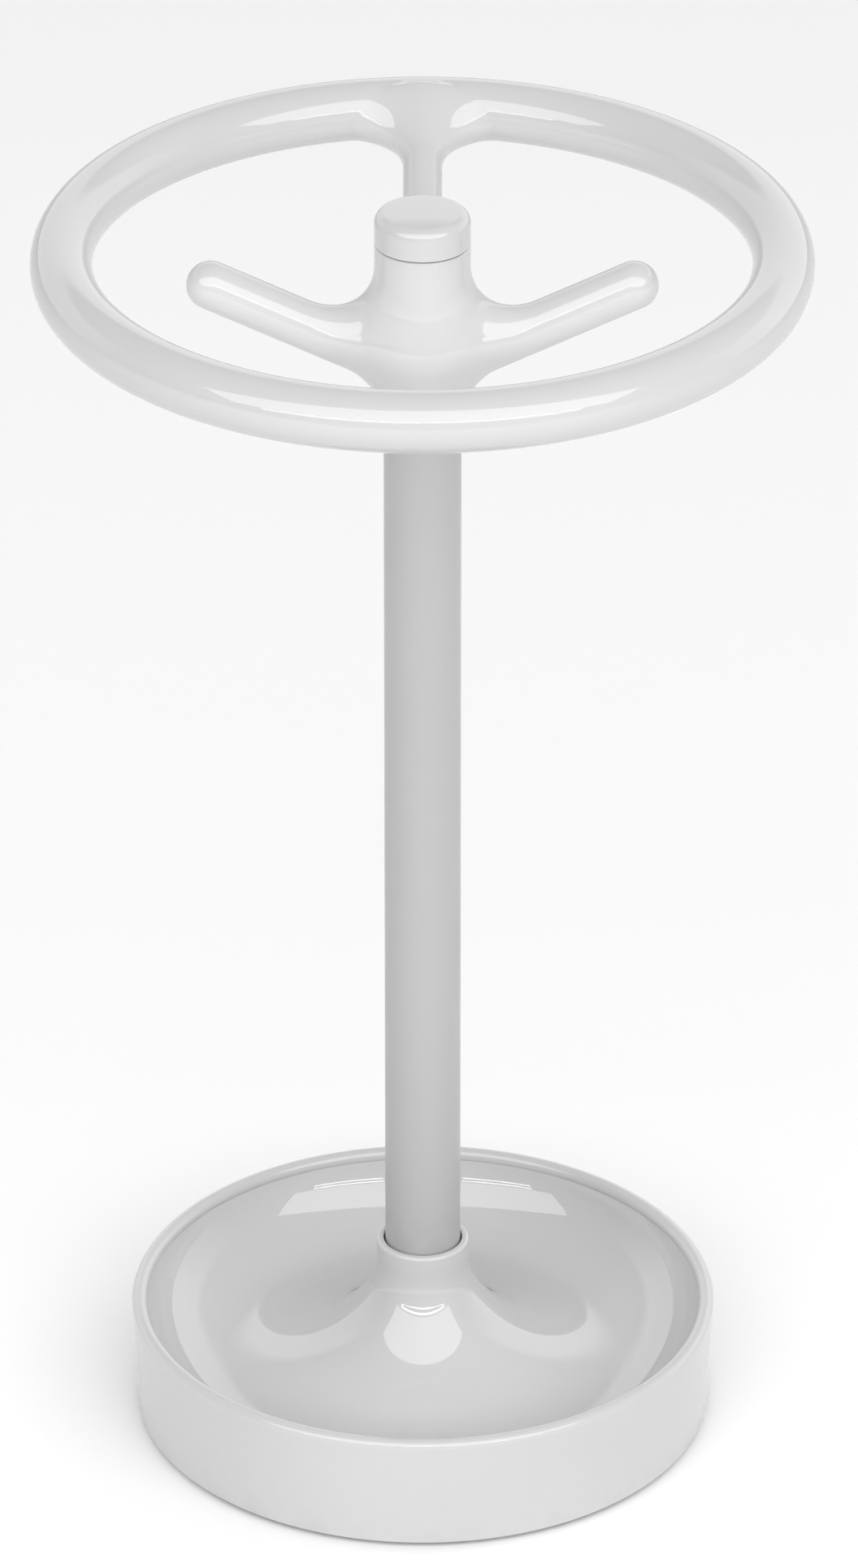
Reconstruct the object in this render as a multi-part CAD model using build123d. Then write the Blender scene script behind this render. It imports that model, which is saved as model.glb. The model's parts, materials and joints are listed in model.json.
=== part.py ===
from build123d import *
import math
import os

# Umbrella stand: a wheel-shaped rail and two hooks on a column, over a weighted drip dish.
# Millimetres. +Z is up, the origin is on the floor under the column, +Y points at the spoke.

# Rail, hub and arms
RAIL_RADIUS = 161.0          # centre-line of the rail
RAIL_TUBE_RADIUS = 14.0
RAIL_Z = 594.0
ARM_FOOT_Z = 537.0           # where the arms' centre-lines meet the column's axis
HOOK_RADIUS = 11.0
HOOK_REACH = 94.5            # axis to the centre of the hook's round end
HOOK_TIP_Z = 581.5
SPOKE_RADIUS = 9.0
SPOKE_FILLET = 18.0          # where the spoke meets the rail
HUB_FILLET = 8.0             # where hooks and spoke meet the hub
HUB_FOOT_Z = 516.0
SWELL_FOOT_Z = 524.0         # the hub keeps the column's diameter up to here
KNUCKLE_RADIUS = 24.4
KNUCKLE_Z = 551.0
NECK_RADIUS = 21.6
NECK_FOOT_Z = 584.0
HUB_TOP_Z = 602.2
HUB_TOP_BEVEL = 0.5

# Column and its clamping hardware
COLUMN_RADIUS = 17.5
COLUMN_WALL = 1.5
COLUMN_FOOT_Z = 25.0
SPIGOT_GAP = 0.15
SPIGOT_LENGTH = 36.0
SPIGOT_DEPTH_IN_HUB = 24.0
ROD_RADIUS = 4.9
ROD_HOLE_RADIUS = 5.5
ROD_END_BEVEL = 0.8
NUT_ACROSS_FLATS = 16.0
NUT_HEIGHT = 8.4
NUT_BEVEL = 0.9
WASHER_RADIUS = 13.0
WASHER_THICKNESS = 2.5
WASHER_BORE_RADIUS = 5.3
SPIGOT_BEVEL = 1.2
ROD_SPARE = 1.8              # thread that stands past the lower nut
ROD_SPARE_TOP = 5.0
HUB_WEB_Z = 566.0            # floor of the pocket that holds the upper nut

# Cap over the nut pocket
CAP_SEAT_Z = 590.0           # ledge that the cap's skirt rests on
CAP_GAP = 0.6                # shadow line between cap and hub
CAP_TOP_Z = 618.0
CAP_EDGE_RADIUS = 5.0
CAP_SKIRT_RADIUS = 17.3
CAP_SKIRT_WALL = 2.2
CAP_SKIRT_CLEARANCE = 0.3
CAP_ROOF = 3.2
CAP_LOWER_BEVEL = 0.4
NUT_POCKET_RADIUS = 14.2

# Weighted base
WALL_RADIUS_TOP = 136.3
WALL_RADIUS_FOOT = 133.8
WALL_FOOT_Z = 2.6
WALL_TOP_Z = 54.1
RIM_TOP_Z = 58.3
RIM_INNER_RADIUS = 129.6
BOWL_RADIUS = 40.0           # arc from the valley up to the rim
VALLEY_RADIUS = 91.0
VALLEY_Z = 23.6
TRUMPET_RADIUS = 75.0        # long arc from the valley up towards the collar
THROAT_RADIUS = 30.0         # short arc under the collar
THROAT_ANGLE = 28.0
COLLAR_RADIUS = 21.5
COLLAR_TOP_Z = 88.0
COLLAR_BORE_RADIUS = 18.2
COLLAR_LIP_RADIUS = 1.6
SHELL_WALL = 3.2
SOCKET_FLOOR = 6.0
RIB_COUNT = 8
RIB_THICKNESS = 2.0
WALL_TO_BOWL_CORNER = 0.9    # how far outside the rim's inner edge the cavity ends

# Ballast, cover, screws and feet
BALLAST_OUTER_RADIUS = 112.0
BALLAST_INNER_RADIUS = 26.0
BALLAST_Z = 6.5
BALLAST_THICKNESS = 12.0
BALLAST_BEVEL = 1.0
BALLAST_SCREW_COUNT = 4
BALLAST_SCREW_CIRCLE = 70.0
BALLAST_SCREW_RADIUS = 2.4
BALLAST_SCREW_BITE = 6.0     # length of thread in the boss
BALLAST_HEAD_RADIUS = 4.8
BALLAST_HEAD_HEIGHT = 3.4
BALLAST_BOSS_RADIUS = 5.0
COUNTERBORE_RADIUS = 5.4
COUNTERBORE_DEPTH = 4.5
PLATE_RADIUS = 130.0
PLATE_Z = 3.0
PLATE_THICKNESS = 2.5
PLATE_BEVEL = 0.5
PLATE_SCREW_COUNT = 6
PLATE_SCREW_CIRCLE = 122.0
PLATE_SCREW_RADIUS = 1.7
PLATE_SCREW_BITE = 10.0
PLATE_HEAD_RADIUS = 3.4
PLATE_HEAD_HEIGHT = 2.0
PLATE_BOSS_RADIUS = 4.6
FOOT_COUNT = 6
FOOT_CIRCLE = 120.0
FOOT_RADIUS = 8.5
FOOT_EDGE_RADIUS = 0.8
FOOT_STEM_RADIUS = 3.0
FOOT_BARB_STEP = 0.9         # how far the barb stands out past the stem
FOOT_BARB_TIP_RADIUS = 2.0
FOOT_BARB_HEIGHT = 3.0
SCREW_CLEARANCE = 0.05       # round a screw in the hole it threads into
PASSING_CLEARANCE = 0.3      # round a screw in the piece it passes through
PILOT_SPARE = 0.5            # hole past the screw's tip
CROSS_SLOT_WIDTH = 0.9
CROSS_SLOT_DEPTH = 1.2
OVERCUT = 1.0                # how far a cutter runs past the face it opens

COLUMN_BORE = COLUMN_RADIUS - COLUMN_WALL
SOCKET_UNDERSIDE_Z = COLUMN_FOOT_Z - SOCKET_FLOOR
SOCKET_OUTER_RADIUS = COLLAR_BORE_RADIUS + SHELL_WALL
BALLAST_TOP_Z = BALLAST_Z + BALLAST_THICKNESS
PLATE_TOP_Z = PLATE_Z + PLATE_THICKNESS
PLATE_SCREW_START = 180.0 / PLATE_SCREW_COUNT
RIB_START = 180.0 / RIB_COUNT
TRUMPET_CENTRE = (VALLEY_RADIUS, VALLEY_Z + TRUMPET_RADIUS)
BOWL_CENTRE = (VALLEY_RADIUS, VALLEY_Z + BOWL_RADIUS)


def write(shape, node):
    """Save one sub-part as its own STEP file."""
    export_step(shape, f"parts/{node}.step")


def rod(radius, low, high, x=0.0, y=0.0):
    """A vertical solid cylinder between two heights."""
    return Pos(x, y, (low + high) / 2) * Cylinder(radius, high - low)


def tube(outer, inner, low, high):
    """A vertical cylinder with a bore through it."""
    return rod(outer, low, high) - rod(inner, low - OVERCUT, high + OVERCUT)


def hexagon(low, high):
    """A plain M10 nut with chamfered corners and a clearance bore."""
    corner_radius = NUT_ACROSS_FLATS / math.sqrt(3)
    blank = extrude(Plane.XY.offset(low) * RegularPolygon(corner_radius, 6), high - low)
    crown = chamfer(rod(corner_radius, low, high).edges().filter_by(GeomType.CIRCLE), NUT_BEVEL)
    return (blank & crown) - rod(ROD_RADIUS + SCREW_CLEARANCE, low - OVERCUT, high + OVERCUT)


def around(radius, count, first_angle=0.0):
    """Yield evenly spaced points on a circle as x, y and the angle in degrees."""
    for index in range(count):
        angle = first_angle + 360.0 * index / count
        yield radius * math.cos(math.radians(angle)), radius * math.sin(math.radians(angle)), angle


def height_under(centre, radius, r):
    """The height, at distance r from the axis, of the lower half of an arc round centre."""
    return centre[1] - math.sqrt(radius**2 - (r - centre[0]) ** 2)


def dish_points():
    """Join points of the dish's arcs: collar foot, throat, valley and bowl top."""
    turn = math.radians(THROAT_ANGLE)
    throat_r = TRUMPET_CENTRE[0] - TRUMPET_RADIUS * math.cos(turn)
    throat_z = TRUMPET_CENTRE[1] - TRUMPET_RADIUS * math.sin(turn)
    collar_r = throat_r - THROAT_RADIUS * (1 - math.cos(turn))
    collar_z = throat_z + THROAT_RADIUS * math.sin(turn)
    bowl_z = height_under(BOWL_CENTRE, BOWL_RADIUS, RIM_INNER_RADIUS)
    return (collar_r, collar_z), (throat_r, throat_z), (VALLEY_RADIUS, VALLEY_Z), (RIM_INNER_RADIUS, bowl_z)


def arc_middle(centre, start, end):
    """The point half way along the shorter arc round centre from start to end."""
    radius = math.dist(centre, start)
    chord_r = (start[0] + end[0]) / 2 - centre[0]
    chord_z = (start[1] + end[1]) / 2 - centre[1]
    scale = radius / math.hypot(chord_r, chord_z)
    return centre[0] + chord_r * scale, centre[1] + chord_z * scale


def base_outer_form():
    """Everything below the base's visible surface, without the cavity underneath."""
    collar, throat, valley, bowl = dish_points()
    throat_centre = (collar[0] + THROAT_RADIUS, collar[1])
    rim_crest = ((RIM_INNER_RADIUS + WALL_RADIUS_TOP) / 2, RIM_TOP_Z)
    lip_centre = (COLLAR_RADIUS - COLLAR_LIP_RADIUS, COLLAR_TOP_Z - COLLAR_LIP_RADIUS)
    lip_foot = (COLLAR_RADIUS, lip_centre[1])
    lip_top = (lip_centre[0], COLLAR_TOP_Z)
    with BuildPart() as form:
        with BuildSketch(Plane.XZ):
            with BuildLine():
                Line((0, WALL_FOOT_Z), (WALL_RADIUS_FOOT, WALL_FOOT_Z))
                Line((WALL_RADIUS_FOOT, WALL_FOOT_Z), (WALL_RADIUS_TOP, WALL_TOP_Z))
                ThreePointArc((WALL_RADIUS_TOP, WALL_TOP_Z), rim_crest, bowl)
                ThreePointArc(bowl, arc_middle(BOWL_CENTRE, bowl, valley), valley)
                ThreePointArc(valley, arc_middle(TRUMPET_CENTRE, valley, throat), throat)
                ThreePointArc(throat, arc_middle(throat_centre, throat, collar), collar)
                Line(collar, lip_foot)
                ThreePointArc(lip_foot, arc_middle(lip_centre, lip_foot, lip_top), lip_top)
                Line(lip_top, (0, COLLAR_TOP_Z))
                Line((0, COLLAR_TOP_Z), (0, WALL_FOOT_Z))
            make_face()
        revolve(axis=Axis.Z)
    return form.part


def base_cavity():
    """The hollow under the dish, one wall thickness inside the visible surface."""
    valley = (VALLEY_RADIUS, VALLEY_Z - SHELL_WALL)
    apex_z = height_under(TRUMPET_CENTRE, TRUMPET_RADIUS + SHELL_WALL, SOCKET_OUTER_RADIUS)
    apex = (SOCKET_OUTER_RADIUS, apex_z)
    corner_r = RIM_INNER_RADIUS + WALL_TO_BOWL_CORNER
    corner = (corner_r, height_under(BOWL_CENTRE, BOWL_RADIUS + SHELL_WALL, corner_r))
    open_z = WALL_FOOT_Z - OVERCUT
    inner_foot = (WALL_RADIUS_FOOT - SHELL_WALL, open_z)
    with BuildPart() as cavity:
        with BuildSketch(Plane.XZ):
            with BuildLine():
                Line((0, open_z), inner_foot)
                Line(inner_foot, corner)
                ThreePointArc(corner, arc_middle(BOWL_CENTRE, corner, valley), valley)
                ThreePointArc(valley, arc_middle(TRUMPET_CENTRE, valley, apex), apex)
                Line(apex, (SOCKET_OUTER_RADIUS, SOCKET_UNDERSIDE_Z))
                Line((SOCKET_OUTER_RADIUS, SOCKET_UNDERSIDE_Z), (0, SOCKET_UNDERSIDE_Z))
                Line((0, SOCKET_UNDERSIDE_Z), (0, open_z))
            make_face()
        revolve(axis=Axis.Z)
    return cavity.part


def base_bosses():
    """Screw bosses and radial ribs, still longer than the shell they are trimmed to."""
    stock = []
    for x, y, _ in around(BALLAST_SCREW_CIRCLE, BALLAST_SCREW_COUNT):
        stock.append(rod(BALLAST_BOSS_RADIUS, BALLAST_TOP_Z, RIM_TOP_Z, x, y))
    for x, y, _ in around(PLATE_SCREW_CIRCLE, PLATE_SCREW_COUNT, PLATE_SCREW_START):
        stock.append(rod(PLATE_BOSS_RADIUS, PLATE_TOP_Z, RIM_TOP_Z, x, y))
    length = WALL_RADIUS_TOP - COLLAR_BORE_RADIUS
    height = RIM_TOP_Z - BALLAST_TOP_Z
    rib = Box(length, RIB_THICKNESS, height)
    middle = COLLAR_BORE_RADIUS + length / 2
    for x, y, angle in around(middle, RIB_COUNT, RIB_START):
        stock.append(Pos(x, y, BALLAST_TOP_Z + height / 2) * Rot(0, 0, angle) * rib)
    return stock


def base_shell():
    """One moulding: outer wall, rim, drip dish, trumpet and the socket for the column."""
    form = base_outer_form()
    shell = form - base_cavity()
    shell += [piece & form for piece in base_bosses()]
    shell -= rod(COLLAR_BORE_RADIUS, COLUMN_FOOT_Z, COLLAR_TOP_Z + OVERCUT)
    shell -= rod(ROD_HOLE_RADIUS, SOCKET_UNDERSIDE_Z - OVERCUT, COLUMN_FOOT_Z + OVERCUT)
    hole = BALLAST_SCREW_RADIUS + SCREW_CLEARANCE
    end = BALLAST_TOP_Z + BALLAST_SCREW_BITE + PILOT_SPARE
    for x, y, _ in around(BALLAST_SCREW_CIRCLE, BALLAST_SCREW_COUNT):
        shell -= rod(hole, BALLAST_TOP_Z - OVERCUT, end, x, y)
    hole = PLATE_SCREW_RADIUS + SCREW_CLEARANCE
    end = PLATE_TOP_Z + PLATE_SCREW_BITE + PILOT_SPARE
    for x, y, _ in around(PLATE_SCREW_CIRCLE, PLATE_SCREW_COUNT, PLATE_SCREW_START):
        shell -= rod(hole, PLATE_TOP_Z - OVERCUT, end, x, y)
    return shell


def ballast_weight():
    """Cast ring that keeps the stand upright, counterbored for its screws."""
    ring = tube(BALLAST_OUTER_RADIUS, BALLAST_INNER_RADIUS, BALLAST_Z, BALLAST_TOP_Z)
    ring = chamfer(ring.edges().filter_by(GeomType.CIRCLE), BALLAST_BEVEL)
    hole = BALLAST_SCREW_RADIUS + PASSING_CLEARANCE
    for x, y, _ in around(BALLAST_SCREW_CIRCLE, BALLAST_SCREW_COUNT):
        ring -= rod(hole, BALLAST_Z - OVERCUT, BALLAST_TOP_Z + OVERCUT, x, y)
        ring -= rod(COUNTERBORE_RADIUS, BALLAST_Z - OVERCUT, BALLAST_Z + COUNTERBORE_DEPTH, x, y)
    return ring


def pan_screw(radius, head_radius, head_height, seat, tip, x, y):
    """A cross-recessed screw: pan head below seat, shank up to tip."""
    head = rod(head_radius, seat - head_height, seat)
    head = fillet(head.edges().sort_by(Axis.Z)[0], head_height * 0.45)
    shank = rod(radius, seat, tip)
    shank = chamfer(shank.edges().sort_by(Axis.Z)[-1], radius * 0.4)
    slot = Box(head_radius, CROSS_SLOT_WIDTH, CROSS_SLOT_DEPTH)
    recess = Pos(0, 0, seat - head_height + CROSS_SLOT_DEPTH / 2) * (slot + Rot(0, 0, 90) * slot)
    return Pos(x, y, 0) * (head + shank - recess)


def ballast_screws():
    """The screws that hold the ballast up to the shell's bosses."""
    seat = BALLAST_Z + COUNTERBORE_DEPTH
    tip = BALLAST_TOP_Z + BALLAST_SCREW_BITE
    screws = []
    for x, y, _ in around(BALLAST_SCREW_CIRCLE, BALLAST_SCREW_COUNT):
        screw = pan_screw(BALLAST_SCREW_RADIUS, BALLAST_HEAD_RADIUS, BALLAST_HEAD_HEIGHT, seat, tip, x, y)
        screws.append(screw)
    return Compound(children=screws)


def base_plate():
    """Flat cover that closes the base from below."""
    plate = rod(PLATE_RADIUS, PLATE_Z, PLATE_TOP_Z)
    plate = chamfer(plate.edges().filter_by(GeomType.CIRCLE), PLATE_BEVEL)
    hole = PLATE_SCREW_RADIUS + PASSING_CLEARANCE
    for x, y, _ in around(PLATE_SCREW_CIRCLE, PLATE_SCREW_COUNT, PLATE_SCREW_START):
        plate -= rod(hole, PLATE_Z - OVERCUT, PLATE_TOP_Z + OVERCUT, x, y)
    hole = FOOT_STEM_RADIUS + SCREW_CLEARANCE
    for x, y, _ in around(FOOT_CIRCLE, FOOT_COUNT):
        plate -= rod(hole, PLATE_Z - OVERCUT, PLATE_TOP_Z + OVERCUT, x, y)
    return plate


def base_plate_screws():
    """The screws that hold the cover, heads under the plate and clear of the floor."""
    tip = PLATE_TOP_Z + PLATE_SCREW_BITE
    screws = []
    for x, y, _ in around(PLATE_SCREW_CIRCLE, PLATE_SCREW_COUNT, PLATE_SCREW_START):
        screw = pan_screw(PLATE_SCREW_RADIUS, PLATE_HEAD_RADIUS, PLATE_HEAD_HEIGHT, PLATE_Z, tip, x, y)
        screws.append(screw)
    return Compound(children=screws)


def rubber_foot(x, y):
    """A pad on the floor with a stem that snaps through the cover."""
    pad = rod(FOOT_RADIUS, 0, PLATE_Z, x, y)
    pad = fillet(pad.edges().sort_by(Axis.Z)[0], FOOT_EDGE_RADIUS)
    stem = rod(FOOT_STEM_RADIUS, PLATE_Z, PLATE_TOP_Z, x, y)
    barb = Cone(FOOT_STEM_RADIUS + FOOT_BARB_STEP, FOOT_BARB_TIP_RADIUS, FOOT_BARB_HEIGHT)
    return pad + stem + Pos(x, y, PLATE_TOP_Z + FOOT_BARB_HEIGHT / 2) * barb


def column_tube():
    """The visible post."""
    return tube(COLUMN_RADIUS, COLUMN_BORE, COLUMN_FOOT_Z, HUB_FOOT_Z)


def spigot(low, high):
    """A turned plug that centres the rod in the column."""
    plug = chamfer(rod(COLUMN_BORE - SPIGOT_GAP, low, high).edges().filter_by(GeomType.CIRCLE), SPIGOT_BEVEL)
    return plug - rod(ROD_HOLE_RADIUS, low - OVERCUT, high + OVERCUT)


def washer(low):
    """A large washer that spreads the clamping load."""
    return tube(WASHER_RADIUS, WASHER_BORE_RADIUS, low, low + WASHER_THICKNESS)


def tie_rod():
    """Threaded rod that clamps hub, column and base together."""
    low = SOCKET_UNDERSIDE_Z - WASHER_THICKNESS - NUT_HEIGHT - ROD_SPARE
    high = HUB_WEB_Z + WASHER_THICKNESS + NUT_HEIGHT + ROD_SPARE_TOP
    return chamfer(rod(ROD_RADIUS, low, high).edges().filter_by(GeomType.CIRCLE), ROD_END_BEVEL)


def hub_body():
    """The turned core of the hub, from the column's diameter out to the knuckle and neck."""
    swell_foot = (COLUMN_RADIUS, SWELL_FOOT_Z)
    neck_foot = (NECK_RADIUS, NECK_FOOT_Z)
    upwards = (0, 1)
    with BuildPart() as core:
        with BuildSketch(Plane.XZ):
            with BuildLine():
                Line((0, HUB_FOOT_Z), (COLUMN_RADIUS, HUB_FOOT_Z))
                Line((COLUMN_RADIUS, HUB_FOOT_Z), swell_foot)
                Spline(swell_foot, (KNUCKLE_RADIUS, KNUCKLE_Z), neck_foot, tangents=(upwards, upwards))
                Line(neck_foot, (NECK_RADIUS, HUB_TOP_Z - HUB_TOP_BEVEL))
                Line((NECK_RADIUS, HUB_TOP_Z - HUB_TOP_BEVEL), (NECK_RADIUS - HUB_TOP_BEVEL, HUB_TOP_Z))
                Line((NECK_RADIUS - HUB_TOP_BEVEL, HUB_TOP_Z), (0, HUB_TOP_Z))
                Line((0, HUB_TOP_Z), (0, HUB_FOOT_Z))
            make_face()
        revolve(axis=Axis.Z)
    return core.part


def arm(radius, reach, tip_z):
    """A round bar from the column's axis out along +X, rising to tip_z."""
    foot = Vector(0, 0, ARM_FOOT_Z)
    tip = Vector(reach, 0, tip_z)
    return Solid.make_cylinder(radius, (tip - foot).length, Plane(foot, z_dir=tip - foot))


def rail_sector(start, sweep):
    """A stretch of the rail, from one angle on through a sweep, in degrees."""
    section = Plane(origin=(RAIL_RADIUS, 0, RAIL_Z), z_dir=(0, -1, 0)) * Circle(RAIL_TUBE_RADIUS)
    return Rot(0, 0, start) * revolve(section, Axis.Z, revolution_arc=sweep)


def joint_edges(body, nearest, farthest):
    """The curves where round members meet, between two distances from the column's axis."""
    curves = body.edges().filter_by(GeomType.BSPLINE)
    shortest = 30.0
    curves = [curve for curve in curves if curve.length > shortest]
    return [c for c in curves if nearest < math.hypot(*tuple(c.center())[:2]) < farthest]


def ring_hub():
    """One moulding: the rail, its spoke, the two hooks and the hub."""
    half_sector = 30.0
    spoke = Rot(0, 0, 90) * arm(SPOKE_RADIUS, RAIL_RADIUS, RAIL_Z)
    back = rail_sector(90 - half_sector, 2 * half_sector) + spoke
    back = fillet(joint_edges(back, RAIL_RADIUS - 2 * RAIL_TUBE_RADIUS, RAIL_RADIUS), SPOKE_FILLET)
    body = hub_body()
    for heading in (0, 180):
        body += Rot(0, 0, heading) * arm(HOOK_RADIUS, HOOK_REACH, HOOK_TIP_Z)
    body += back
    body = fillet(joint_edges(body, 0, 2 * KNUCKLE_RADIUS), HUB_FILLET)
    for heading in (0, 180):
        body += Rot(0, 0, heading) * Pos(HOOK_REACH, 0, HOOK_TIP_Z) * Sphere(HOOK_RADIUS)
    body += rail_sector(90 + half_sector, 360 - 2 * half_sector)
    body -= rod(COLUMN_BORE, HUB_FOOT_Z - OVERCUT, HUB_FOOT_Z + SPIGOT_DEPTH_IN_HUB)
    body -= rod(ROD_HOLE_RADIUS, HUB_FOOT_Z, HUB_WEB_Z + OVERCUT)
    body -= rod(NUT_POCKET_RADIUS, HUB_WEB_Z, CAP_SEAT_Z + OVERCUT)
    body -= rod(CAP_SKIRT_RADIUS + CAP_SKIRT_CLEARANCE, CAP_SEAT_Z, HUB_TOP_Z + OVERCUT)
    return body


def hub_cap():
    """Domed cover whose skirt drops into the hub; it lifts off to reach the nut."""
    low = HUB_TOP_Z + CAP_GAP
    button = rod(NECK_RADIUS, low, CAP_TOP_Z)
    button = fillet(button.edges().sort_by(Axis.Z)[-1], CAP_EDGE_RADIUS)
    button = chamfer(button.edges().sort_by(Axis.Z)[0], CAP_LOWER_BEVEL)
    button += rod(CAP_SKIRT_RADIUS, CAP_SEAT_Z, low + OVERCUT)
    button -= rod(CAP_SKIRT_RADIUS - CAP_SKIRT_WALL, CAP_SEAT_Z - OVERCUT, CAP_TOP_Z - CAP_ROOF)
    return button


def main():
    os.makedirs("parts", exist_ok=True)
    write(base_shell(), "base_shell")
    write(ballast_weight(), "ballast_weight")
    write(ballast_screws(), "ballast_screws")
    write(base_plate(), "base_plate")
    write(base_plate_screws(), "base_plate_screws")
    for number, (x, y, _) in enumerate(around(FOOT_CIRCLE, FOOT_COUNT), start=1):
        write(rubber_foot(x, y), f"foot_{number}")
    write(column_tube(), "column_tube")
    write(spigot(COLUMN_FOOT_Z, COLUMN_FOOT_Z + SPIGOT_LENGTH), "lower_spigot")
    write(spigot(HUB_FOOT_Z - SPIGOT_LENGTH, HUB_FOOT_Z + SPIGOT_DEPTH_IN_HUB), "upper_spigot")
    write(tie_rod(), "tie_rod")
    lower_washer_z = SOCKET_UNDERSIDE_Z - WASHER_THICKNESS
    write(washer(lower_washer_z), "lower_washer")
    write(hexagon(lower_washer_z - NUT_HEIGHT, lower_washer_z), "lower_nut")
    write(washer(HUB_WEB_Z), "upper_washer")
    upper_nut_z = HUB_WEB_Z + WASHER_THICKNESS
    write(hexagon(upper_nut_z, upper_nut_z + NUT_HEIGHT), "upper_nut")
    write(ring_hub(), "ring_hub")
    write(hub_cap(), "hub_cap")


main()
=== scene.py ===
import json
import math

import bpy
import numpy as np
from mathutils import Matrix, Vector

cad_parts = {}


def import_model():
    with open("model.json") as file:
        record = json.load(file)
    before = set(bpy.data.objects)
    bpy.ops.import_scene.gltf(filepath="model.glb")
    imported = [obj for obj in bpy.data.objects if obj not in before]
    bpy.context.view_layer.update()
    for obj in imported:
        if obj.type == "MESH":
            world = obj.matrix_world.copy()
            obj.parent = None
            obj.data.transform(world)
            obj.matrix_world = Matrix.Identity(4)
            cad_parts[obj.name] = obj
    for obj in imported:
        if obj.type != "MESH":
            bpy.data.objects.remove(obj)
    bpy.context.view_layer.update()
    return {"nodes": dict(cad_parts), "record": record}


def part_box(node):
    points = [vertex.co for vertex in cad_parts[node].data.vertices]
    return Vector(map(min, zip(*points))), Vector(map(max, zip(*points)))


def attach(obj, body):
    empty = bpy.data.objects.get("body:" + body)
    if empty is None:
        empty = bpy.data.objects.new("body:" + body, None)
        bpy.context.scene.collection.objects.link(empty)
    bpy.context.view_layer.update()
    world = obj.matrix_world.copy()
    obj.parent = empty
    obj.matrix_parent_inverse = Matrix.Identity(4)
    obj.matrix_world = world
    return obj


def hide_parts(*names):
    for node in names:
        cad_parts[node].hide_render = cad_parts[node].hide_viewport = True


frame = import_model()

MM = 0.001
AXIS_LIMIT = 1e-6                     # a radius below this lies on the axis
GRADIENT_STEP = 0.05                  # a field's slope is taken over twice this length
SURFACE_LIMIT = 0.05                  # a point this near to a field's surface lies on it
SETTLE_PASSES = 4                     # how often a mesh is moved on to its field's surface
NORMAL_AGREEMENT = 0.9                # least cosine between a field's normal and its face's
FINE_STEP = math.radians(3)           # between the points of an arc
RIM_STEP = math.radians(8)            # and of smaller ones
LIP_STEP = math.radians(10)
COARSE_STEP = math.radians(15)
HUB_SHARP_ANGLE = math.radians(35)    # edges this sharp are shaded as edges
TURNED_SHARP_ANGLE = math.radians(28)
TURNED_SEGMENTS = 256
CUTTER_SEGMENTS = 192

# Places read from the frame, in millimetres
RING_LOW, RING_HIGH = (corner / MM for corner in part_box("ring_hub"))
COLUMN_LOW, COLUMN_HIGH = (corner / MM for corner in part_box("column_tube"))
CAP_LOW, CAP_HIGH = (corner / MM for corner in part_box("hub_cap"))
BASE_LOW, BASE_HIGH = (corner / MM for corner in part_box("base_shell"))
POCKET_FLOOR_Z = (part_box("upper_washer")[0] / MM).z
SOCKET_UNDERSIDE_Z = (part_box("lower_washer")[1] / MM).z
PLUG_TOP_Z = (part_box("upper_spigot")[1] / MM).z

# The ring moulding
TUBE_RADIUS = 14.0
RAIL_RADIUS = RING_HIGH.y - TUBE_RADIUS
RAIL_Z = RING_HIGH.z - TUBE_RADIUS
HUB_FOOT_Z = RING_LOW.z
HUB_TOP_Z = 602.2
COLUMN_RADIUS = COLUMN_HIGH.x
COLUMN_BORE = COLUMN_RADIUS - 1.5
NECK_RADIUS = CAP_HIGH.x
KNUCKLE_RADIUS = 23.4
KNUCKLE_Z = 552.0
KNUCKLE_FILLET = 14.0
NECK_FILLET = 10.0
ARM_FOOT_Z = 537.0
HOOK_RADIUS = 11.0
HOOK_REACH = 94.5
HOOK_TIP_Z = 581.5
SPOKE_RADIUS = 9.0
SPOKE_INSET = 2.0             # the spoke's axis stops this far inside the rail's centre line
ARM_ROOT_FILLET = 7.0         # between one arm and the next
ARM_FILLET_LOW = 12.0         # between arms and hub, at the foot of the hub
ARM_FILLET_HIGH = 30.0        # and over the arms
ARM_FILLET_RISE = (ARM_FOOT_Z + 3, KNUCKLE_Z + 10)    # heights where it changes
RAIL_FILLET_TOP = 16.0        # between spoke and rail, over the spoke
RAIL_FILLET_SIDE = 26.0       # and beside it
RAIL_FILLET_LEAST = 0.5       # outside the rail
RAIL_FILLET_FADE = (-8, 3)    # from the rail's centre line: where the fillet fades out
SPOKE_FLANK = (0.3, 2)        # in spoke radii over its axis: where the fillet changes
ROD_BORE = 5.5
NUT_POCKET_RADIUS = 14.2
CAP_SEAT_RADIUS = 17.6
HUB_BEVEL = 0.5
CUTTER_REACH = 60.0           # how far the cutter goes past the hub, sideways and upwards
CUTTER_OVERRUN = 5.0          # and downwards
GRID_STEP = 1.6
GRID_MARGIN = 3 * GRID_STEP
NECK_OVERRUN = 4 * GRID_STEP  # the field's neck goes on above the hub, where it is cut off
GRID_TOP_MARGIN = 7 * GRID_STEP

# The cap
CAP_EDGE_RADIUS = 5.0
CAP_CROWN = 0.5
CAP_LIP_RADIUS = 0.5
SKIRT_BEVEL = 0.6
SKIRT_INNER_BEVEL = 0.4
ROOF_FILLET = 1.0
CAP_GAP = 0.6
SKIRT_RADIUS = 17.3
SKIRT_BORE = 15.1
CAP_ROOF = 3.2

# The column
COLUMN_EDGE_BEVEL = 0.4
COLUMN_ROWS = 48

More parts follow.
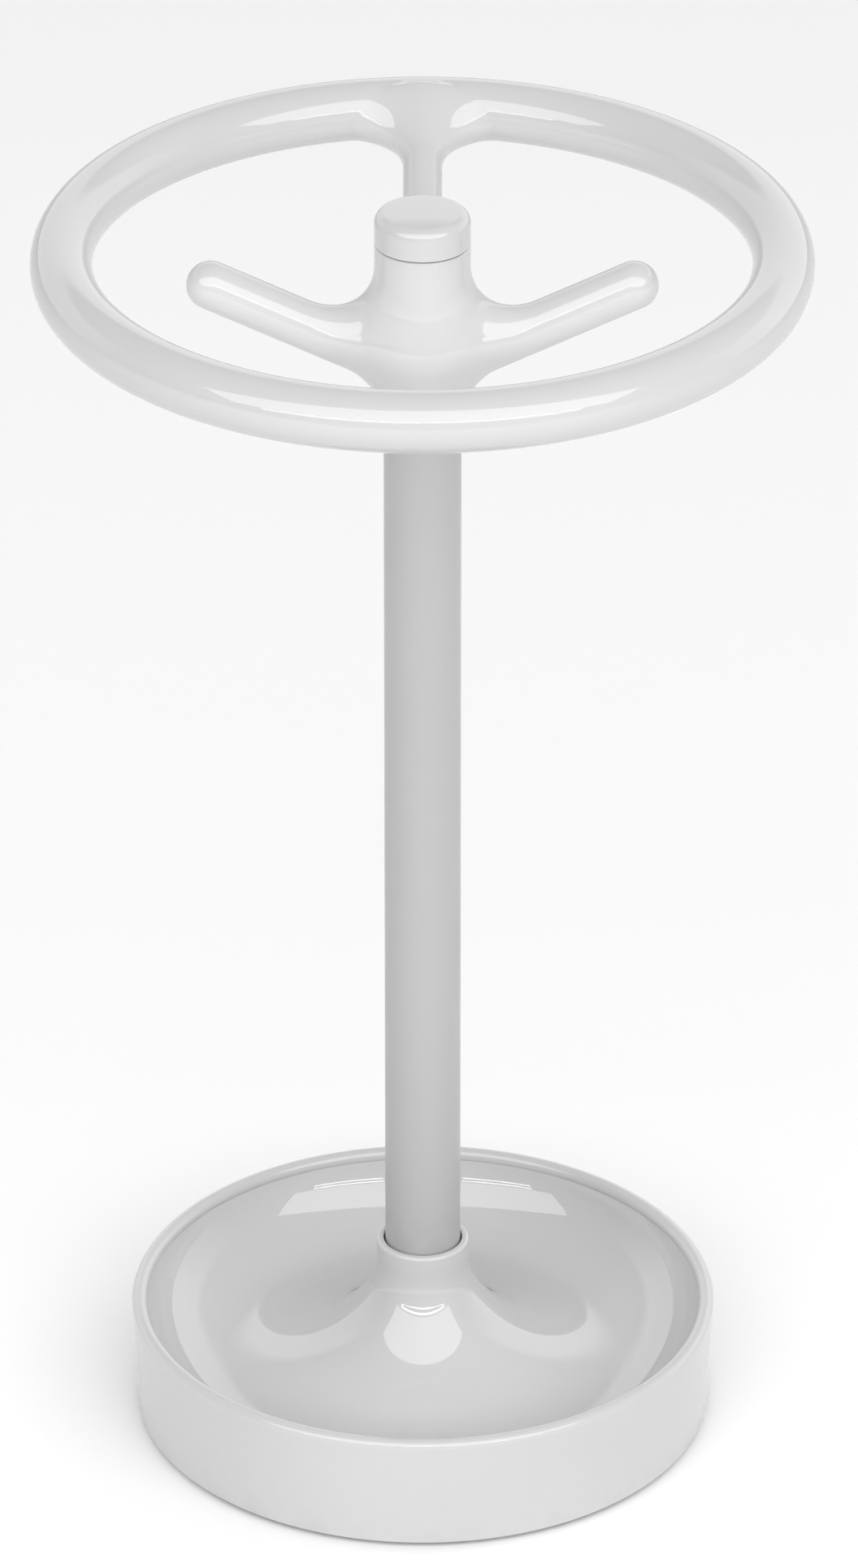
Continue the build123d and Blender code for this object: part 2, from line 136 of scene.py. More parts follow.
# The base moulding
WALL_RADIUS_FOOT = 133.8
WALL_RADIUS_TOP = 136.3
WALL_TOP_Z = 54.1
RIM_TOP_Z = 58.3
RIM_INNER_RADIUS = 129.6
BOWL_RADIUS = 40.0
VALLEY_RADIUS = 91.0
VALLEY_Z = 23.6
TRUMPET_RADIUS = 75.0
THROAT_RADIUS = 30.0
THROAT_ANGLE = math.radians(28)
COLLAR_RADIUS = 21.5
COLLAR_BORE = 18.2
LIP_RADIUS = 1.6
SHELL_WALL = 3.2
FOOT_BEVEL = 0.8              # at the foot of the wall
COLLAR_BEVEL = 0.4            # inside the collar's mouth
HOLLOW_REACH = 0.9            # how far the hollow goes out past the rim's inner radius
BASE_SEGMENTS = 320
SOCKET_RADIUS = COLLAR_BORE + SHELL_WALL


# ---------------------------------------------------------------- distance fields, in millimetres
def capsule(points, start, end, radius):
    """Signed distance to a round bar with spherical ends."""
    axis = np.subtract(end, start)
    along = np.clip((points - start) @ axis / (axis @ axis), 0, 1)
    return np.linalg.norm(points - start - along[:, None] * axis, axis=1) - radius


def post(points, radius, low, high):
    """Signed distance to an upright cylinder."""
    side = np.hypot(points[:, 0], points[:, 1]) - radius
    end = np.abs(points[:, 2] - (low + high) / 2) - (high - low) / 2
    outside = np.hypot(np.maximum(side, 0), np.maximum(end, 0))
    return outside + np.minimum(np.maximum(side, end), 0)


def fillet_union(first, second, radius):
    """The union of two fields with a round fillet between them."""
    a = np.maximum(radius - first, 0)
    b = np.maximum(radius - second, 0)
    return np.maximum(radius, np.minimum(first, second)) - np.hypot(a, b)


def ease(value, low, high):
    """0 below low, 1 above high and a smooth step between."""
    t = np.clip((value - low) / (high - low), 0, 1)
    return t * t * (3 - 2 * t)


def ring_field(points):
    """Signed distance to the ring, spoke, hooks and hub, without the pockets inside the hub."""
    around = np.hypot(points[:, 0], points[:, 1]) - RAIL_RADIUS
    rail = np.hypot(around, points[:, 2] - RAIL_Z) - TUBE_RADIUS
    foot = np.array((0, 0, ARM_FOOT_Z))
    arms = capsule(points, foot, np.array((0, RAIL_RADIUS - SPOKE_INSET, RAIL_Z)), SPOKE_RADIUS)
    for side in (-1, 1):
        tip = np.array((side * HOOK_REACH, 0, HOOK_TIP_Z))
        arms = fillet_union(arms, capsule(points, foot, tip, HOOK_RADIUS), ARM_ROOT_FILLET)
    core = post(points, COLUMN_RADIUS, HUB_FOOT_Z, KNUCKLE_Z)
    neck = post(points, NECK_RADIUS, KNUCKLE_Z, HUB_TOP_Z + NECK_OVERRUN)
    knuckle = np.linalg.norm(points - (0, 0, KNUCKLE_Z), axis=1) - KNUCKLE_RADIUS
    core = fillet_union(fillet_union(core, knuckle, KNUCKLE_FILLET), neck, NECK_FILLET)
    rise = ease(points[:, 2], *ARM_FILLET_RISE)
    hub = fillet_union(core, arms, ARM_FILLET_LOW + (ARM_FILLET_HIGH - ARM_FILLET_LOW) * rise)
    spoke_z = ARM_FOOT_Z + (RAIL_Z - ARM_FOOT_Z) * (around / RAIL_RADIUS + 1)
    beside = 1 - ease(points[:, 2] - spoke_z, *(share * SPOKE_RADIUS for share in SPOKE_FLANK))
    inward = 1 - ease(around, *RAIL_FILLET_FADE)
    rail_fillet = RAIL_FILLET_TOP + (RAIL_FILLET_SIDE - RAIL_FILLET_TOP) * beside
    return fillet_union(hub, rail, RAIL_FILLET_LEAST + rail_fillet * inward)


def gradient(field, points):
    """Unit outward normals of a field at some points."""
    slopes = []
    for axis in np.eye(3) * GRADIENT_STEP:
        slopes.append(field(points + axis) - field(points - axis))
    slopes = np.stack(slopes, axis=1)
    return slopes / np.maximum(np.linalg.norm(slopes, axis=1), 1e-9)[:, None]


def surface_mesh(field, low, high, step):
    """Vertices and quads of the surface where a field is zero, by averaging each cell's crossings."""
    counts = np.ceil((np.array(high) - low) / step).astype(int) + 1
    axes = [low[i] + step * np.arange(counts[i]) for i in range(3)]
    nodes = np.stack(np.meshgrid(*axes, indexing="ij"), axis=-1)
    value = np.concatenate([field(layer.reshape(-1, 3)) for layer in nodes]).reshape(counts)
    inside = value < 0
    total = np.zeros((*(counts - 1), 3))
    hits = np.zeros(counts - 1, int)
    crossings = []
    for axis in range(3):
        near = [slice(None)] * 3
        far = [slice(None)] * 3
        near[axis], far[axis] = slice(0, -1), slice(1, None)
        a, b = value[tuple(near)], value[tuple(far)]
        crossed = inside[tuple(near)] != inside[tuple(far)]
        share = np.where(crossed, a / np.where(crossed, a - b, 1), 0)
        place = nodes[tuple(near)] + share[..., None] * step * np.eye(3)[axis]
        place = place * crossed[..., None]
        crossings.append((crossed, inside[tuple(near)]))
        u, v = [i for i in range(3) if i != axis]
        for du in (0, 1):
            for dv in (0, 1):
                part = [slice(None)] * 3
                part[u] = slice(du, counts[u] - 1 + du)
                part[v] = slice(dv, counts[v] - 1 + dv)
                total += place[tuple(part)]
                hits += crossed[tuple(part)]
    used = hits > 0
    number = np.full(counts - 1, -1)
    number[used] = np.arange(used.sum())
    vertices = total[used] / hits[used][:, None]
    quads = []
    for axis, (crossed, starts_inside) in enumerate(crossings):
        u, v = [(1, 2), (2, 0), (0, 1)][axis]
        cell = np.argwhere(crossed)
        cell = cell[(cell[:, u] > 0) & (cell[:, v] > 0)]
        flip = starts_inside[tuple(cell.T)]
        corners = []
        for du, dv in ((0, 0), (1, 0), (1, 1), (0, 1)):
            shifted = cell.copy()
            shifted[:, u] -= 1 - du
            shifted[:, v] -= 1 - dv
            corners.append(number[tuple(shifted.T)])
        corners = np.stack(corners, axis=1)
        corners[~flip] = corners[~flip][:, ::-1]
        quads.append(corners)
    for _ in range(SETTLE_PASSES):
        vertices -= field(vertices)[:, None] * gradient(field, vertices)
    return vertices, np.concatenate(quads)


def new_object(name, vertices, faces):
    """A mesh object in metres from millimetre vertices."""
    mesh = bpy.data.meshes.new(name)
    mesh.from_pydata((np.asarray(vertices) * MM).tolist(), [], faces)
    mesh.update()
    mesh.shade_smooth()
    piece = bpy.data.objects.new(name, mesh)
    bpy.context.scene.collection.objects.link(piece)
    return piece


def spin(name, outline, segments):
    """A body of revolution from a closed outline, counter-clockwise; a point on the axis is a pole."""
    turns = [2 * math.pi * s / segments for s in range(segments)]
    vertices = []
    rows = []
    for radius, height in outline:
        start = len(vertices)
        if radius < AXIS_LIMIT:
            rows.append([start] * segments)
            vertices.append((0, 0, height))
        else:
            rows.append(list(range(start, start + segments)))
            vertices += [(radius * math.cos(turn), radius * math.sin(turn), height) for turn in turns]
    faces = []
    for row, after in zip(rows, rows[1:] + rows[:1]):
        for s in range(segments):
            t = (s + 1) % segments
            corners = list(dict.fromkeys((row[s], row[t], after[t], after[s])))
            if len(corners) > 2:
                faces.append(corners)
    return new_object(name, vertices, faces)


def arc(centre, radius, start, end, step=FINE_STEP):
    """Points round a centre from one angle to another, both ends included."""
    count = max(2, math.ceil(abs(end - start) / step))
    turns = [start + (end - start) * index / count for index in range(count + 1)]
    return [(centre[0] + radius * math.cos(t), centre[1] + radius * math.sin(t)) for t in turns]


def hub_cutter():
    """What is cut from the hub: the space over it, the cap's seat, the nut pocket and bores."""
    top = HUB_TOP_Z
    seat = CAP_LOW.z
    foot = HUB_FOOT_Z - CUTTER_OVERRUN
    bevel = HUB_BEVEL
    outline = [
        (CUTTER_REACH, top + CUTTER_REACH), (0, top + CUTTER_REACH), (0, foot), (COLUMN_BORE, foot),
        (COLUMN_BORE, PLUG_TOP_Z), (ROD_BORE, PLUG_TOP_Z), (ROD_BORE, POCKET_FLOOR_Z),
        (NUT_POCKET_RADIUS, POCKET_FLOOR_Z), (NUT_POCKET_RADIUS, seat), (CAP_SEAT_RADIUS, seat),
        (CAP_SEAT_RADIUS, top - bevel), (CAP_SEAT_RADIUS + bevel, top), (NECK_RADIUS - bevel, top),
        (NECK_RADIUS + bevel, top - 2 * bevel), (CUTTER_REACH, top - 2 * bevel),
    ]
    return spin("hub_cutter", outline, CUTTER_SEGMENTS)


def cut(piece, cutter):
    """Take the cutter out of the piece and remove the cutter."""
    modifier = piece.modifiers.new("cut", "BOOLEAN")
    modifier.object = cutter
    modifier.operation = "DIFFERENCE"
    modifier.solver = "EXACT"
    graph = bpy.context.evaluated_depsgraph_get()
    mesh = bpy.data.meshes.new_from_object(piece.evaluated_get(graph))
    piece.modifiers.clear()
    piece.data = mesh
    bpy.data.objects.remove(cutter)


def field_normals(piece, field):
    """Exact surface normals where the mesh lies on the field, automatic ones elsewhere."""
    mesh = piece.data
    mesh.shade_smooth()
    mesh.set_sharp_from_angle(angle=HUB_SHARP_ANGLE)
    places = np.zeros(len(mesh.vertices) * 3)
    mesh.vertices.foreach_get("co", places)
    places = places.reshape(-1, 3) / MM
    smooth = gradient(field, places)
    on_surface = np.abs(field(places)) < SURFACE_LIMIT
    loop_vertex = np.zeros(len(mesh.loops), int)
    mesh.loops.foreach_get("vertex_index", loop_vertex)
    face_normal = np.zeros(len(mesh.polygons) * 3)
    mesh.polygons.foreach_get("normal", face_normal)
    sizes = np.zeros(len(mesh.polygons), int)
    mesh.polygons.foreach_get("loop_total", sizes)
    loop_face = np.repeat(np.arange(len(sizes)), sizes)
    face_normal = face_normal.reshape(-1, 3)[loop_face]
    normals = smooth[loop_vertex]
    agree = (normals * face_normal).sum(1) > NORMAL_AGREEMENT
    normals[~(agree & on_surface[loop_vertex])] = 0
    mesh.normals_split_custom_set(normals.tolist())


def ring_piece():
    """The ring, spoke, hooks and hub as one smooth moulding."""
    reach = RING_HIGH.y + GRID_MARGIN
    low = (-reach, -reach, HUB_FOOT_Z - GRID_MARGIN)
    high = (reach, reach, HUB_TOP_Z + GRID_TOP_MARGIN)
    vertices, quads = surface_mesh(ring_field, np.array(low), np.array(high), GRID_STEP)
    piece = new_object("ring_and_hooks", vertices, quads.tolist())
    cut(piece, hub_cutter())
    field_normals(piece, ring_field)
    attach(piece, "stand")
    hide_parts("ring_hub")
    return piece


def turned(name, outline, body, node, segments=TURNED_SEGMENTS):
    """A spun piece that stands for a CAD node."""
    piece = spin(name, outline, segments)
    piece.data.set_sharp_from_angle(angle=TURNED_SHARP_ANGLE)
    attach(piece, body)
    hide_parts(node)
    return piece


def cap_piece():
    """The cap: a button with a round edge and a barely crowned top, over its skirt."""
    low = HUB_TOP_Z + CAP_GAP
    top = CAP_HIGH.z
    edge = CAP_EDGE_RADIUS
    lip = CAP_LIP_RADIUS
    flat = NECK_RADIUS - edge
    crown_radius = (flat**2 + CAP_CROWN**2) / (2 * CAP_CROWN)
    tilt = math.asin(flat / crown_radius)
    roof = top - CAP_ROOF
    corner = SKIRT_BORE - ROOF_FILLET
    outline = [
        (SKIRT_RADIUS - SKIRT_BEVEL, CAP_LOW.z),
        (SKIRT_RADIUS, CAP_LOW.z + SKIRT_BEVEL),
        (SKIRT_RADIUS, low),
    ]
    outline += arc((NECK_RADIUS - lip, low + lip), lip, -math.pi / 2, 0, COARSE_STEP)
    outline += arc((flat, top - CAP_CROWN - edge), edge, 0, math.pi / 2 - tilt)
    outline += arc((0, top - crown_radius), crown_radius, math.pi / 2 - tilt, math.pi / 2)[1:]
    outline += [(0, roof), (corner, roof)]
    outline += arc((corner, roof - ROOF_FILLET), ROOF_FILLET, math.pi / 2, 0, COARSE_STEP)
    outline += [(SKIRT_BORE, CAP_LOW.z + SKIRT_INNER_BEVEL), (SKIRT_BORE + SKIRT_INNER_BEVEL, CAP_LOW.z)]
    return turned("cap_button", outline, "cap", "hub_cap")


def column_piece():
    """The steel tube with lightly broken edges."""
    low, high = COLUMN_LOW.z, COLUMN_HIGH.z
    bevel = COLUMN_EDGE_BEVEL
    outline = [(COLUMN_BORE, low), (COLUMN_RADIUS - bevel, low)]
    outline += [(COLUMN_RADIUS, height) for height in np.linspace(low + bevel, high - bevel, COLUMN_ROWS)]
    outline += [(COLUMN_RADIUS - bevel, high)]
    outline += [(COLUMN_BORE, height) for height in np.linspace(high, low, COLUMN_ROWS)[:-1]]
    return turned("column", outline, "stand", "column_tube")


def lower_angle(centre, radius, r):
    """The angle on the lower half of a circle where it is r from the column's axis."""
    return -math.acos((r - centre[0]) / radius)


def base_piece():
    """The base: wall, round rim, dish, trumpet and collar, and the hollow under them."""
    bowl = (VALLEY_RADIUS, VALLEY_Z + BOWL_RADIUS)
    trumpet = (VALLEY_RADIUS, VALLEY_Z + TRUMPET_RADIUS)
    step = TRUMPET_RADIUS - THROAT_RADIUS
    throat = (trumpet[0] - step * math.cos(THROAT_ANGLE), trumpet[1] - step * math.sin(THROAT_ANGLE))
    bowl_end = lower_angle(bowl, BOWL_RADIUS, RIM_INNER_RADIUS)
    bowl_top = arc(bowl, BOWL_RADIUS, bowl_end, bowl_end)[0]
    foot = BASE_LOW.z
    outline = [(WALL_RADIUS_FOOT - FOOT_BEVEL, foot), (WALL_RADIUS_FOOT, foot + FOOT_BEVEL)]
    for share in np.linspace(0.1, 1, 10):
        radius = WALL_RADIUS_FOOT + (WALL_RADIUS_TOP - WALL_RADIUS_FOOT) * share
        outline.append((radius, foot + (WALL_TOP_Z - foot) * share))
    outline += rim_arc((WALL_RADIUS_TOP, WALL_TOP_Z), bowl_top)
    outline += arc(bowl, BOWL_RADIUS, bowl_end, -math.pi / 2)[1:]
    outline += arc(trumpet, TRUMPET_RADIUS, -math.pi / 2, THROAT_ANGLE - math.pi)[1:]
    outline += arc(throat, THROAT_RADIUS, THROAT_ANGLE - math.pi, -math.pi)[1:]
    lip = (COLLAR_RADIUS - LIP_RADIUS, BASE_HIGH.z - LIP_RADIUS)
    outline += arc(lip, LIP_RADIUS, 0, math.pi / 2, LIP_STEP)
    outline += [(COLLAR_BORE + COLLAR_BEVEL, BASE_HIGH.z), (COLLAR_BORE, BASE_HIGH.z - COLLAR_BEVEL)]
    outline += [(COLLAR_BORE, COLUMN_LOW.z), (ROD_BORE, COLUMN_LOW.z), (ROD_BORE, SOCKET_UNDERSIDE_Z)]
    outline += [(SOCKET_RADIUS, SOCKET_UNDERSIDE_Z)]
    under = TRUMPET_RADIUS + SHELL_WALL
    outline += arc(trumpet, under, lower_angle(trumpet, under, SOCKET_RADIUS), -math.pi / 2)
    over = BOWL_RADIUS + SHELL_WALL
    outline += arc(bowl, over, -math.pi / 2, lower_angle(bowl, over, RIM_INNER_RADIUS + HOLLOW_REACH))[1:]
    outline += [(WALL_RADIUS_FOOT - SHELL_WALL, foot)]
    return turned("base_moulding", outline, "stand", "base_shell", BASE_SEGMENTS)


def rim_arc(start, end):
    """The rim's section: an arc from the wall's top over the crest to the dish's edge."""
    crest = ((WALL_RADIUS_TOP + RIM_INNER_RADIUS) / 2, RIM_TOP_Z)
    (ax, ay), (bx, by), (cx, cy) = start, crest, end
    d = 2 * (ax * (by - cy) + bx * (cy - ay) + cx * (ay - by))
    a2, b2, c2 = ax**2 + ay**2, bx**2 + by**2, cx**2 + cy**2
    centre = ((a2 * (by - cy) + b2 * (cy - ay) + c2 * (ay - by)) / d,
              (a2 * (cx - bx) + b2 * (ax - cx) + c2 * (bx - ax)) / d)
    first = math.atan2(ay - centre[1], ax - centre[0])
    last = math.atan2(cy - centre[1], cx - centre[0]) % (2 * math.pi)
    return arc(centre, math.dist(centre, start), first, last, RIM_STEP)[1:]


# ---------------------------------------------------------------- materials
def ramp(tree, value, low, high, to_low, to_high):
    """Scale a value linearly from one range to another, clamped."""
    node = tree.nodes.new("ShaderNodeMapRange")
    for socket, number in zip(("From Min", "From Max", "To Min", "To Max"), (low, high, to_low, to_high)):
        node.inputs[socket].default_value = number
    tree.links.new(value, node.inputs["Value"])
    return node.outputs["Result"]


def arithmetic(tree, operation, first, second):
    """Arithmetic on two varying values."""
    node = tree.nodes.new("ShaderNodeMath")
    node.operation = operation
    tree.links.new(first, node.inputs[0])
    tree.links.new(second, node.inputs[1])
    return node.outputs["Value"]


class Surface:
    """A Principled material with helpers that wire up procedural detail in object space."""

    def __init__(self, name, colour, roughness, metallic=0.0):
        self.material = bpy.data.materials.new(name)
        self.material.use_nodes = True
        self.tree = self.material.node_tree
        self.shader = self.tree.nodes["Principled BSDF"]
        self.shader.inputs["Base Color"].default_value = (*colour, 1)
        self.shader.inputs["Roughness"].default_value = roughness
        self.shader.inputs["Metallic"].default_value = metallic
        self.coords = self.tree.nodes.new("ShaderNodeTexCoord").outputs["Object"]

    def link(self, source, target):
        """Join an output to an input."""
        self.tree.links.new(source, target)

    def noise(self, scale, detail=3.0, stretch=(1, 1, 1)):
        """Noise in cells per metre, stretched along the axes."""
        mapping = self.tree.nodes.new("ShaderNodeMapping")
        mapping.inputs["Scale"].default_value = stretch
        self.link(self.coords, mapping.inputs["Vector"])
        node = self.tree.nodes.new("ShaderNodeTexNoise")
        node.inputs["Scale"].default_value = scale
        node.inputs["Detail"].default_value = detail
        self.link(mapping.outputs["Vector"], node.inputs["Vector"])
        return node.outputs["Fac"]

    def spots(self, scale):
        """Distance to the nearest of scattered points, with this many to the metre."""
        node = self.tree.nodes.new("ShaderNodeTexVoronoi")
        node.inputs["Scale"].default_value = scale
        self.link(self.coords, node.inputs["Vector"])
        return node.outputs["Distance"]

    def height(self):
        """Height over the floor, in metres."""
        node = self.tree.nodes.new("ShaderNodeSeparateXYZ")
        self.link(self.coords, node.inputs["Vector"])
        return node.outputs["Z"]

    def edges(self):
        """How sharply convex the surface is, about 0.5 where it is flat."""
        return self.tree.nodes.new("ShaderNodeNewGeometry").outputs["Pointiness"]

    def remap(self, value, low, high, to_low=0.0, to_high=1.0):
        """Scale a value linearly from one range to another, clamped."""
        return ramp(self.tree, value, low, high, to_low, to_high)

    def combine(self, operation, first, second):
        """Arithmetic on two varying values."""
        return arithmetic(self.tree, operation, first, second)

    def tint(self, mask, colour, below=None):
        """Mix a colour over the base colour, or over an earlier tint, where mask is 1."""
        node = self.tree.nodes.new("ShaderNodeMix")
        node.data_type = "RGBA"
        self.link(mask, node.inputs["Factor"])
        under, over = (socket for socket in node.inputs if socket.type == "RGBA")
        under.default_value = self.shader.inputs["Base Color"].default_value
        if below is not None:
            self.link(below, under)
        over.default_value = (*colour, 1)
        result = next(socket for socket in node.outputs if socket.type == "RGBA")
        self.link(result, self.shader.inputs["Base Color"])
        return result

    def bump(self, height, strength, distance, below=None):
        """Raise the surface by height, with distance in metres, over an earlier bump."""
        node = self.tree.nodes.new("ShaderNodeBump")
        node.inputs["Strength"].default_value = strength
        node.inputs["Distance"].default_value = distance
        self.link(height, node.inputs["Height"])
        if below is not None:
            self.link(below, node.inputs["Normal"])
        self.link(node.outputs["Normal"], self.shader.inputs["Normal"])
        return node.outputs["Normal"]

    def rough(self, value):
        """Take the roughness from a varying value."""
        self.link(value, self.shader.inputs["Roughness"])


def gloss_white():
    """Polished moulding: neutral white, faint flow marks, dust specks and rubbed edges."""
    s = Surface("gloss_white", (0.56, 0.56, 0.56), 0.03)
    s.shader.inputs["IOR"].default_value = 1.6
    worn = s.combine("MULTIPLY", s.remap(s.edges(), 0.53, 0.62), s.remap(s.noise(90, 4), 0.42, 0.62))
    kicked = s.combine("MULTIPLY", s.remap(s.height(), 0.016, 0.003), s.remap(s.noise(60, 5), 0.45, 0.7))
    shade = s.tint(s.remap(s.noise(7, 2), 0.35, 0.68), (0.54, 0.54, 0.543))
    shade = s.tint(s.remap(s.spots(420), 0.1, 0.04, 0.0, 0.2), (0.42, 0.41, 0.4), shade)
    shade = s.tint(s.remap(worn, 0, 1, 0.0, 0.55), (0.64, 0.635, 0.625), shade)
    s.tint(s.remap(kicked, 0, 1, 0.0, 0.35), (0.42, 0.41, 0.4), shade)
    smudge = s.remap(s.noise(26, 4), 0.45, 0.75, 0.01, 0.03)
    s.rough(s.combine("ADD", smudge, s.remap(worn, 0, 1, 0.0, 0.2)))
    peel = s.bump(s.noise(150, 1), 0.03, 0.0003)
    s.bump(s.noise(24, 1), 0.06, 0.001, peel)
    return s.material


def column_white():
    """Powder coat: fine orange peel, semi-gloss, with a little dirt round its foot."""
    s = Surface("column_white", (0.42, 0.42, 0.42), 0.32)
    shade = s.tint(s.remap(s.noise(9, 3, (1, 1, 0.35)), 0.35, 0.7), (0.4, 0.401, 0.405))
    dirt = s.combine("MULTIPLY", s.remap(s.height(), 0.11, 0.088), s.remap(s.noise(110, 4), 0.35, 0.65))
    shade = s.tint(s.remap(dirt, 0, 1, 0.0, 0.3), (0.3, 0.293, 0.285), shade)
    rim = s.combine("MULTIPLY", s.remap(s.height(), 0.513, 0.516), s.remap(s.noise(300, 3), 0.4, 0.6))
    s.tint(s.remap(rim, 0, 1, 0.0, 0.6), (0.32, 0.32, 0.33), shade)
    s.rough(s.remap(s.noise(35, 3), 0.35, 0.7, 0.3, 0.4))
    peel = s.bump(s.noise(420, 1), 0.1, 0.0002)
    s.bump(s.noise(40, 1), 0.05, 0.0008, peel)
    return s.material


def cast_iron():
    """Sand casting under thin black primer, browned where the edges have rubbed."""
    s = Surface("cast_iron", (0.045, 0.046, 0.05), 0.62)
    shade = s.tint(s.remap(s.noise(40, 5), 0.4, 0.7), (0.075, 0.072, 0.07))
    rubbed = s.combine("MULTIPLY", s.remap(s.edges(), 0.52, 0.6), s.remap(s.noise(160, 4), 0.4, 0.6))
    s.tint(s.remap(rubbed, 0, 1, 0.0, 0.8), (0.2, 0.11, 0.06), shade)
    s.rough(s.remap(s.noise(120, 4), 0.3, 0.7, 0.5, 0.8))
    grain = s.bump(s.noise(900, 4), 0.6, 0.0005)
    s.bump(s.spots(350), 0.35, 0.0006, grain)
    return s.material


def zinc_steel():
    """Bright zinc plate: drawn lines, a faint yellow and blue cast, dulled edges."""
    s = Surface("zinc_steel", (0.62, 0.63, 0.65), 0.3, 1.0)
    shade = s.tint(s.remap(s.noise(120, 3), 0.4, 0.65), (0.68, 0.64, 0.55))
    s.tint(s.remap(s.edges(), 0.55, 0.7, 0.0, 0.7), (0.42, 0.42, 0.43), shade)
    s.rough(s.remap(s.noise(420, 4, (1, 1, 0.1)), 0.3, 0.7, 0.2, 0.45))
    s.bump(s.noise(1400, 3, (0.15, 0.15, 1)), 0.25, 0.0002)
    return s.material


def cover_plastic():
    """Spark-eroded white plastic with floor dust and scratches."""
    s = Surface("cover_plastic", (0.62, 0.62, 0.61), 0.5)
    shade = s.tint(s.remap(s.noise(14, 5), 0.4, 0.7, 0.0, 0.7), (0.52, 0.515, 0.5))
    s.tint(s.remap(s.edges(), 0.53, 0.62, 0.0, 0.6), (0.74, 0.735, 0.72), shade)
    s.rough(s.remap(s.noise(70, 4), 0.35, 0.7, 0.42, 0.62))
    grain = s.bump(s.noise(1500, 3), 0.45, 0.0003)
    s.bump(s.noise(700, 2, (1, 0.04, 1)), 0.15, 0.0003, grain)
    return s.material


def nylon():
    """Turned natural nylon with tool marks round it."""
    s = Surface("nylon", (0.7, 0.68, 0.61), 0.42)
    shade = s.tint(s.remap(s.noise(30, 3), 0.35, 0.7), (0.64, 0.61, 0.53))
    s.tint(s.remap(s.edges(), 0.55, 0.65, 0.0, 0.6), (0.78, 0.77, 0.72), shade)
    s.rough(s.remap(s.noise(90, 3), 0.35, 0.7, 0.34, 0.52))
    s.bump(s.noise(1800, 1, (0.03, 0.03, 1)), 0.4, 0.0003)
    return s.material


def foot_rubber():
    """Matt moulded rubber, greyed by dust towards its edge."""
    s = Surface("foot_rubber", (0.03, 0.03, 0.031), 0.75)
    shade = s.tint(s.remap(s.noise(180, 4), 0.45, 0.7, 0.0, 0.8), (0.075, 0.072, 0.07))
    s.tint(s.remap(s.edges(), 0.53, 0.65, 0.0, 0.7), (0.13, 0.125, 0.12), shade)
    s.rough(s.remap(s.noise(260, 3), 0.3, 0.7, 0.65, 0.9))
    s.bump(s.noise(1600, 3), 0.5, 0.0003)
    return s.material


def floor_white():
    """Seamless white paper."""
    return Surface("floor_white", (0.94, 0.94, 0.94), 0.8).material


MATERIALS = {make.__name__: make() for make in (
    gloss_white, column_white, cast_iron, zinc_steel, cover_plastic, nylon, foot_rubber,
)}


def dress(piece, slot):
    """Give a piece one of the materials."""
    piece.data.materials.clear()
    piece.data.materials.append(MATERIALS[slot])


PIECES = {
    "ring_hub": ring_piece(),
    "hub_cap": cap_piece(),
    "column_tube": column_piece(),
    "base_shell": base_piece(),
}
for entry in frame["record"]["subparts"]:
    node, slot = entry["node"], entry["material_slot"]
    dress(frame["nodes"][node], slot)
    if node in PIECES:
        dress(PIECES[node], slot)


# ---------------------------------------------------------------- stage, in metres and degrees
# The camera's lens and sensor are in millimetres.
FLOOR_REACH = 60.0
LIGHT_AIM = Vector((0, 0, 0.3))
LIGHT_DISTANCE = 7.0
SOFTBOX_ELEVATION = 47
SOFTBOX_SIZE = (18, 4.4)
SOFTBOX_RADIANCE = 2.6
TUBE_ELEVATIONS = {"upper_tube": 27.3, "lower_tube": 23.2}
TUBE_SIZE = (13, 0.2)
TUBE_RADIANCE = 9
CAMERA_AIM = Vector((0.0029, 0, 0.3282))
CAMERA_DISTANCE = 5.0
CAMERA_ELEVATION = 28.5
CAMERA_CLIP = 100
CAMERA_LENS = 251.1
CAMERA_SENSOR = 36


def floor():
    """A plain pale floor that runs out of every view."""
    mesh = bpy.data.meshes.new("floor")
    reach = FLOOR_REACH
    corners = [(-reach, -reach, 0), (reach, -reach, 0), (reach, reach, 0), (-reach, reach, 0)]
    mesh.from_pydata(corners, [], [(0, 1, 2, 3)])
    mesh.materials.append(floor_white())
    piece = bpy.data.objects.new("floor", mesh)
    bpy.context.scene.collection.objects.link(piece)


def place(thing, aim, distance, elevation):
    """Put a light or the camera in front of the stand, turned to the point it is aimed at."""
    up = math.radians(elevation)
    away = Vector((0, -math.cos(up), math.sin(up)))
    thing.location = aim + distance * away
    thing.rotation_euler = (-away).to_track_quat("-Z", "Y").to_euler()


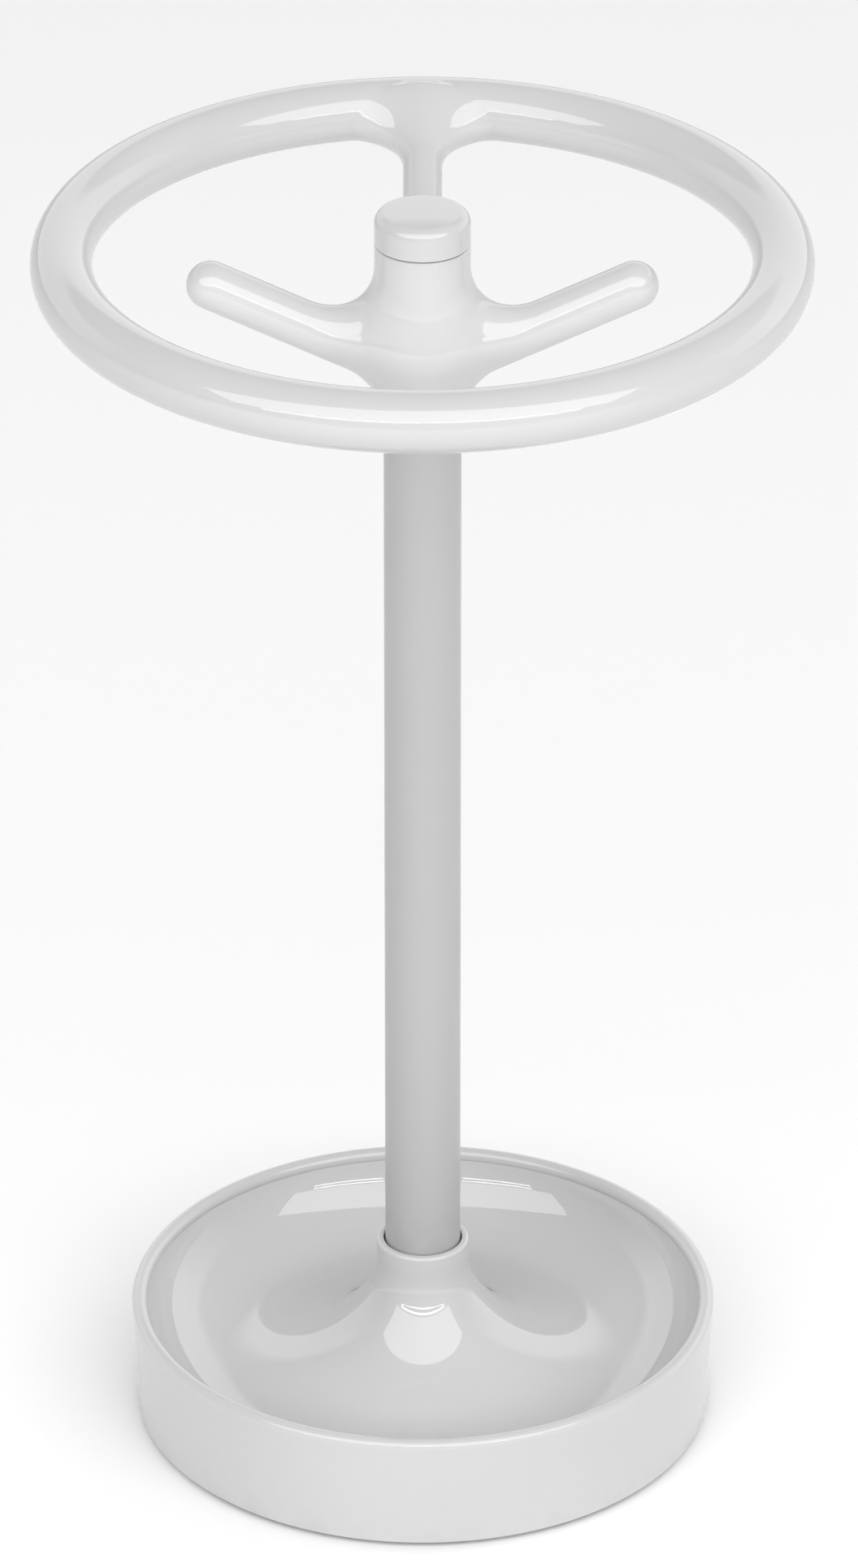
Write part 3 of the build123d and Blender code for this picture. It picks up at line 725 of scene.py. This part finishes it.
def area_light(name, elevation, size, radiance):
    """A rectangular light on the camera's side that faces the stand."""
    light = bpy.data.lights.new(name, "AREA")
    light.shape = "RECTANGLE"
    light.size, light.size_y = size
    light.energy = radiance * math.pi * size[0] * size[1]
    lamp = bpy.data.objects.new(name, light)
    bpy.context.scene.collection.objects.link(lamp)
    place(lamp, LIGHT_AIM, LIGHT_DISTANCE, elevation)


def lights():
    """A wide soft light over the camera, with two bare tubes under its lower edge."""
    area_light("front_softbox", SOFTBOX_ELEVATION, SOFTBOX_SIZE, SOFTBOX_RADIANCE)
    for name, elevation in TUBE_ELEVATIONS.items():
        area_light(name, elevation, TUBE_SIZE, TUBE_RADIANCE)


def world():
    """Grey surroundings, brighter towards the right, with a white backdrop low behind the stand."""
    made = bpy.data.worlds.new("studio")
    made.use_nodes = True
    tree = made.node_tree
    direction = tree.nodes.new("ShaderNodeSeparateXYZ")
    tree.links.new(tree.nodes.new("ShaderNodeTexCoord").outputs["Generated"], direction.inputs["Vector"])

    def slope(axis, low, high, to_low, to_high):
        """Brightness that changes with one component of the direction."""
        return ramp(tree, direction.outputs[axis], low, high, to_low, to_high)

    white_below = slope("Z", 0.47, 0.53, 1.1, 0.3)
    behind = slope("Y", -0.1, 0.5, 0.0, 1.0)
    backdrop = arithmetic(tree, "MULTIPLY", white_below, behind)
    from_the_right = slope("X", -1, 1, 0.08, 0.55)
    from_the_front = slope("Y", -0.4, -1, 0.0, 0.1)
    room = arithmetic(tree, "ADD", from_the_right, from_the_front)
    total = arithmetic(tree, "ADD", room, backdrop)
    tree.links.new(total, tree.nodes["Background"].inputs["Strength"])
    tree.nodes["Background"].inputs["Color"].default_value = (1, 1, 1, 1)
    bpy.context.scene.world = made


def camera():
    """A long lens from a distance, looking down at the stand from its front."""
    data = bpy.data.cameras.new("camera")
    data.sensor_width = CAMERA_SENSOR
    data.lens = CAMERA_LENS
    data.clip_end = CAMERA_CLIP
    view = bpy.data.objects.new("camera", data)
    bpy.context.scene.collection.objects.link(view)
    place(view, CAMERA_AIM, CAMERA_DISTANCE, CAMERA_ELEVATION)
    bpy.context.scene.camera = view


floor()
world()
lights()
camera()
bpy.context.scene.view_settings.view_transform = "Standard"
